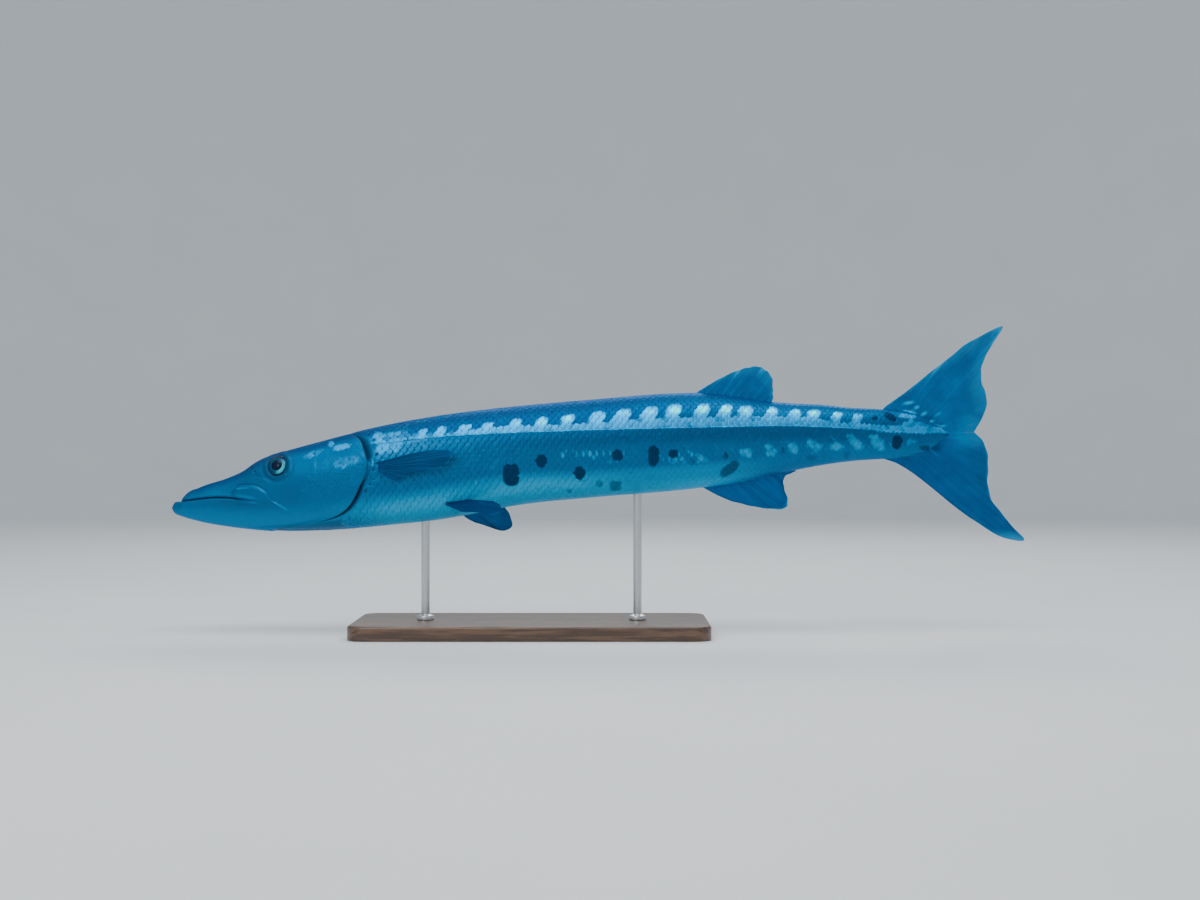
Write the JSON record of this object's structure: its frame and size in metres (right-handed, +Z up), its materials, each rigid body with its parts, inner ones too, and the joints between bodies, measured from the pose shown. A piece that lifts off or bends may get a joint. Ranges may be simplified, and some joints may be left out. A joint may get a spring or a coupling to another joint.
{
  "type": "great barracuda display model",
  "caption": "Still life-size great barracuda, jaws closed and fins part spread, held level by slim rods on a flat display board.",
  "frame": {"origin": "middle of the flat underside of the display board, on the floor", "axes": "+X from the fish's snout to its tail, +Y to the fish's right, +Z up"},
  "size_m": [1.2131, 0.2, 0.4372],
  "materials": {
    "back": "scaled skin of the back and skull, steel blue, satin sheen",
    "flank": "scaled silver skin with a dark band, pale flame marks and blotches",
    "jaw": "smooth blue grey skin of the jaws, satin",
    "fin": "dark blue grey ribbed membrane, paler at the tips",
    "eye": "black pupil in a silvery iris under a clear wet surface",
    "base": "dark stained hardwood, satin lacquer",
    "rod": "brushed steel rod with a turned collar"
  },
  "bodies": {
    "root": {"head": "back", "lower_jaw": "jaw", "upper_jaw_plate_left": "jaw", "upper_jaw_plate_right": "jaw", "gill_cover_left": "flank", "gill_cover_right": "flank", "eye_left": "eye", "eye_right": "eye", "trunk_front": "flank", "trunk_rear": "flank", "tail_stalk": "flank", "dorsal_fin_first": "fin", "dorsal_fin_second": "fin", "anal_fin": "fin", "tail_fin_upper": "fin", "tail_fin_lower": "fin", "pectoral_fin_left": "fin", "pectoral_fin_right": "fin", "pelvic_fin_left": "fin", "pelvic_fin_right": "fin", "stand_base": "base", "stand_rod_front": "rod", "stand_rod_rear": "rod"}
  },
  "joints": []
}
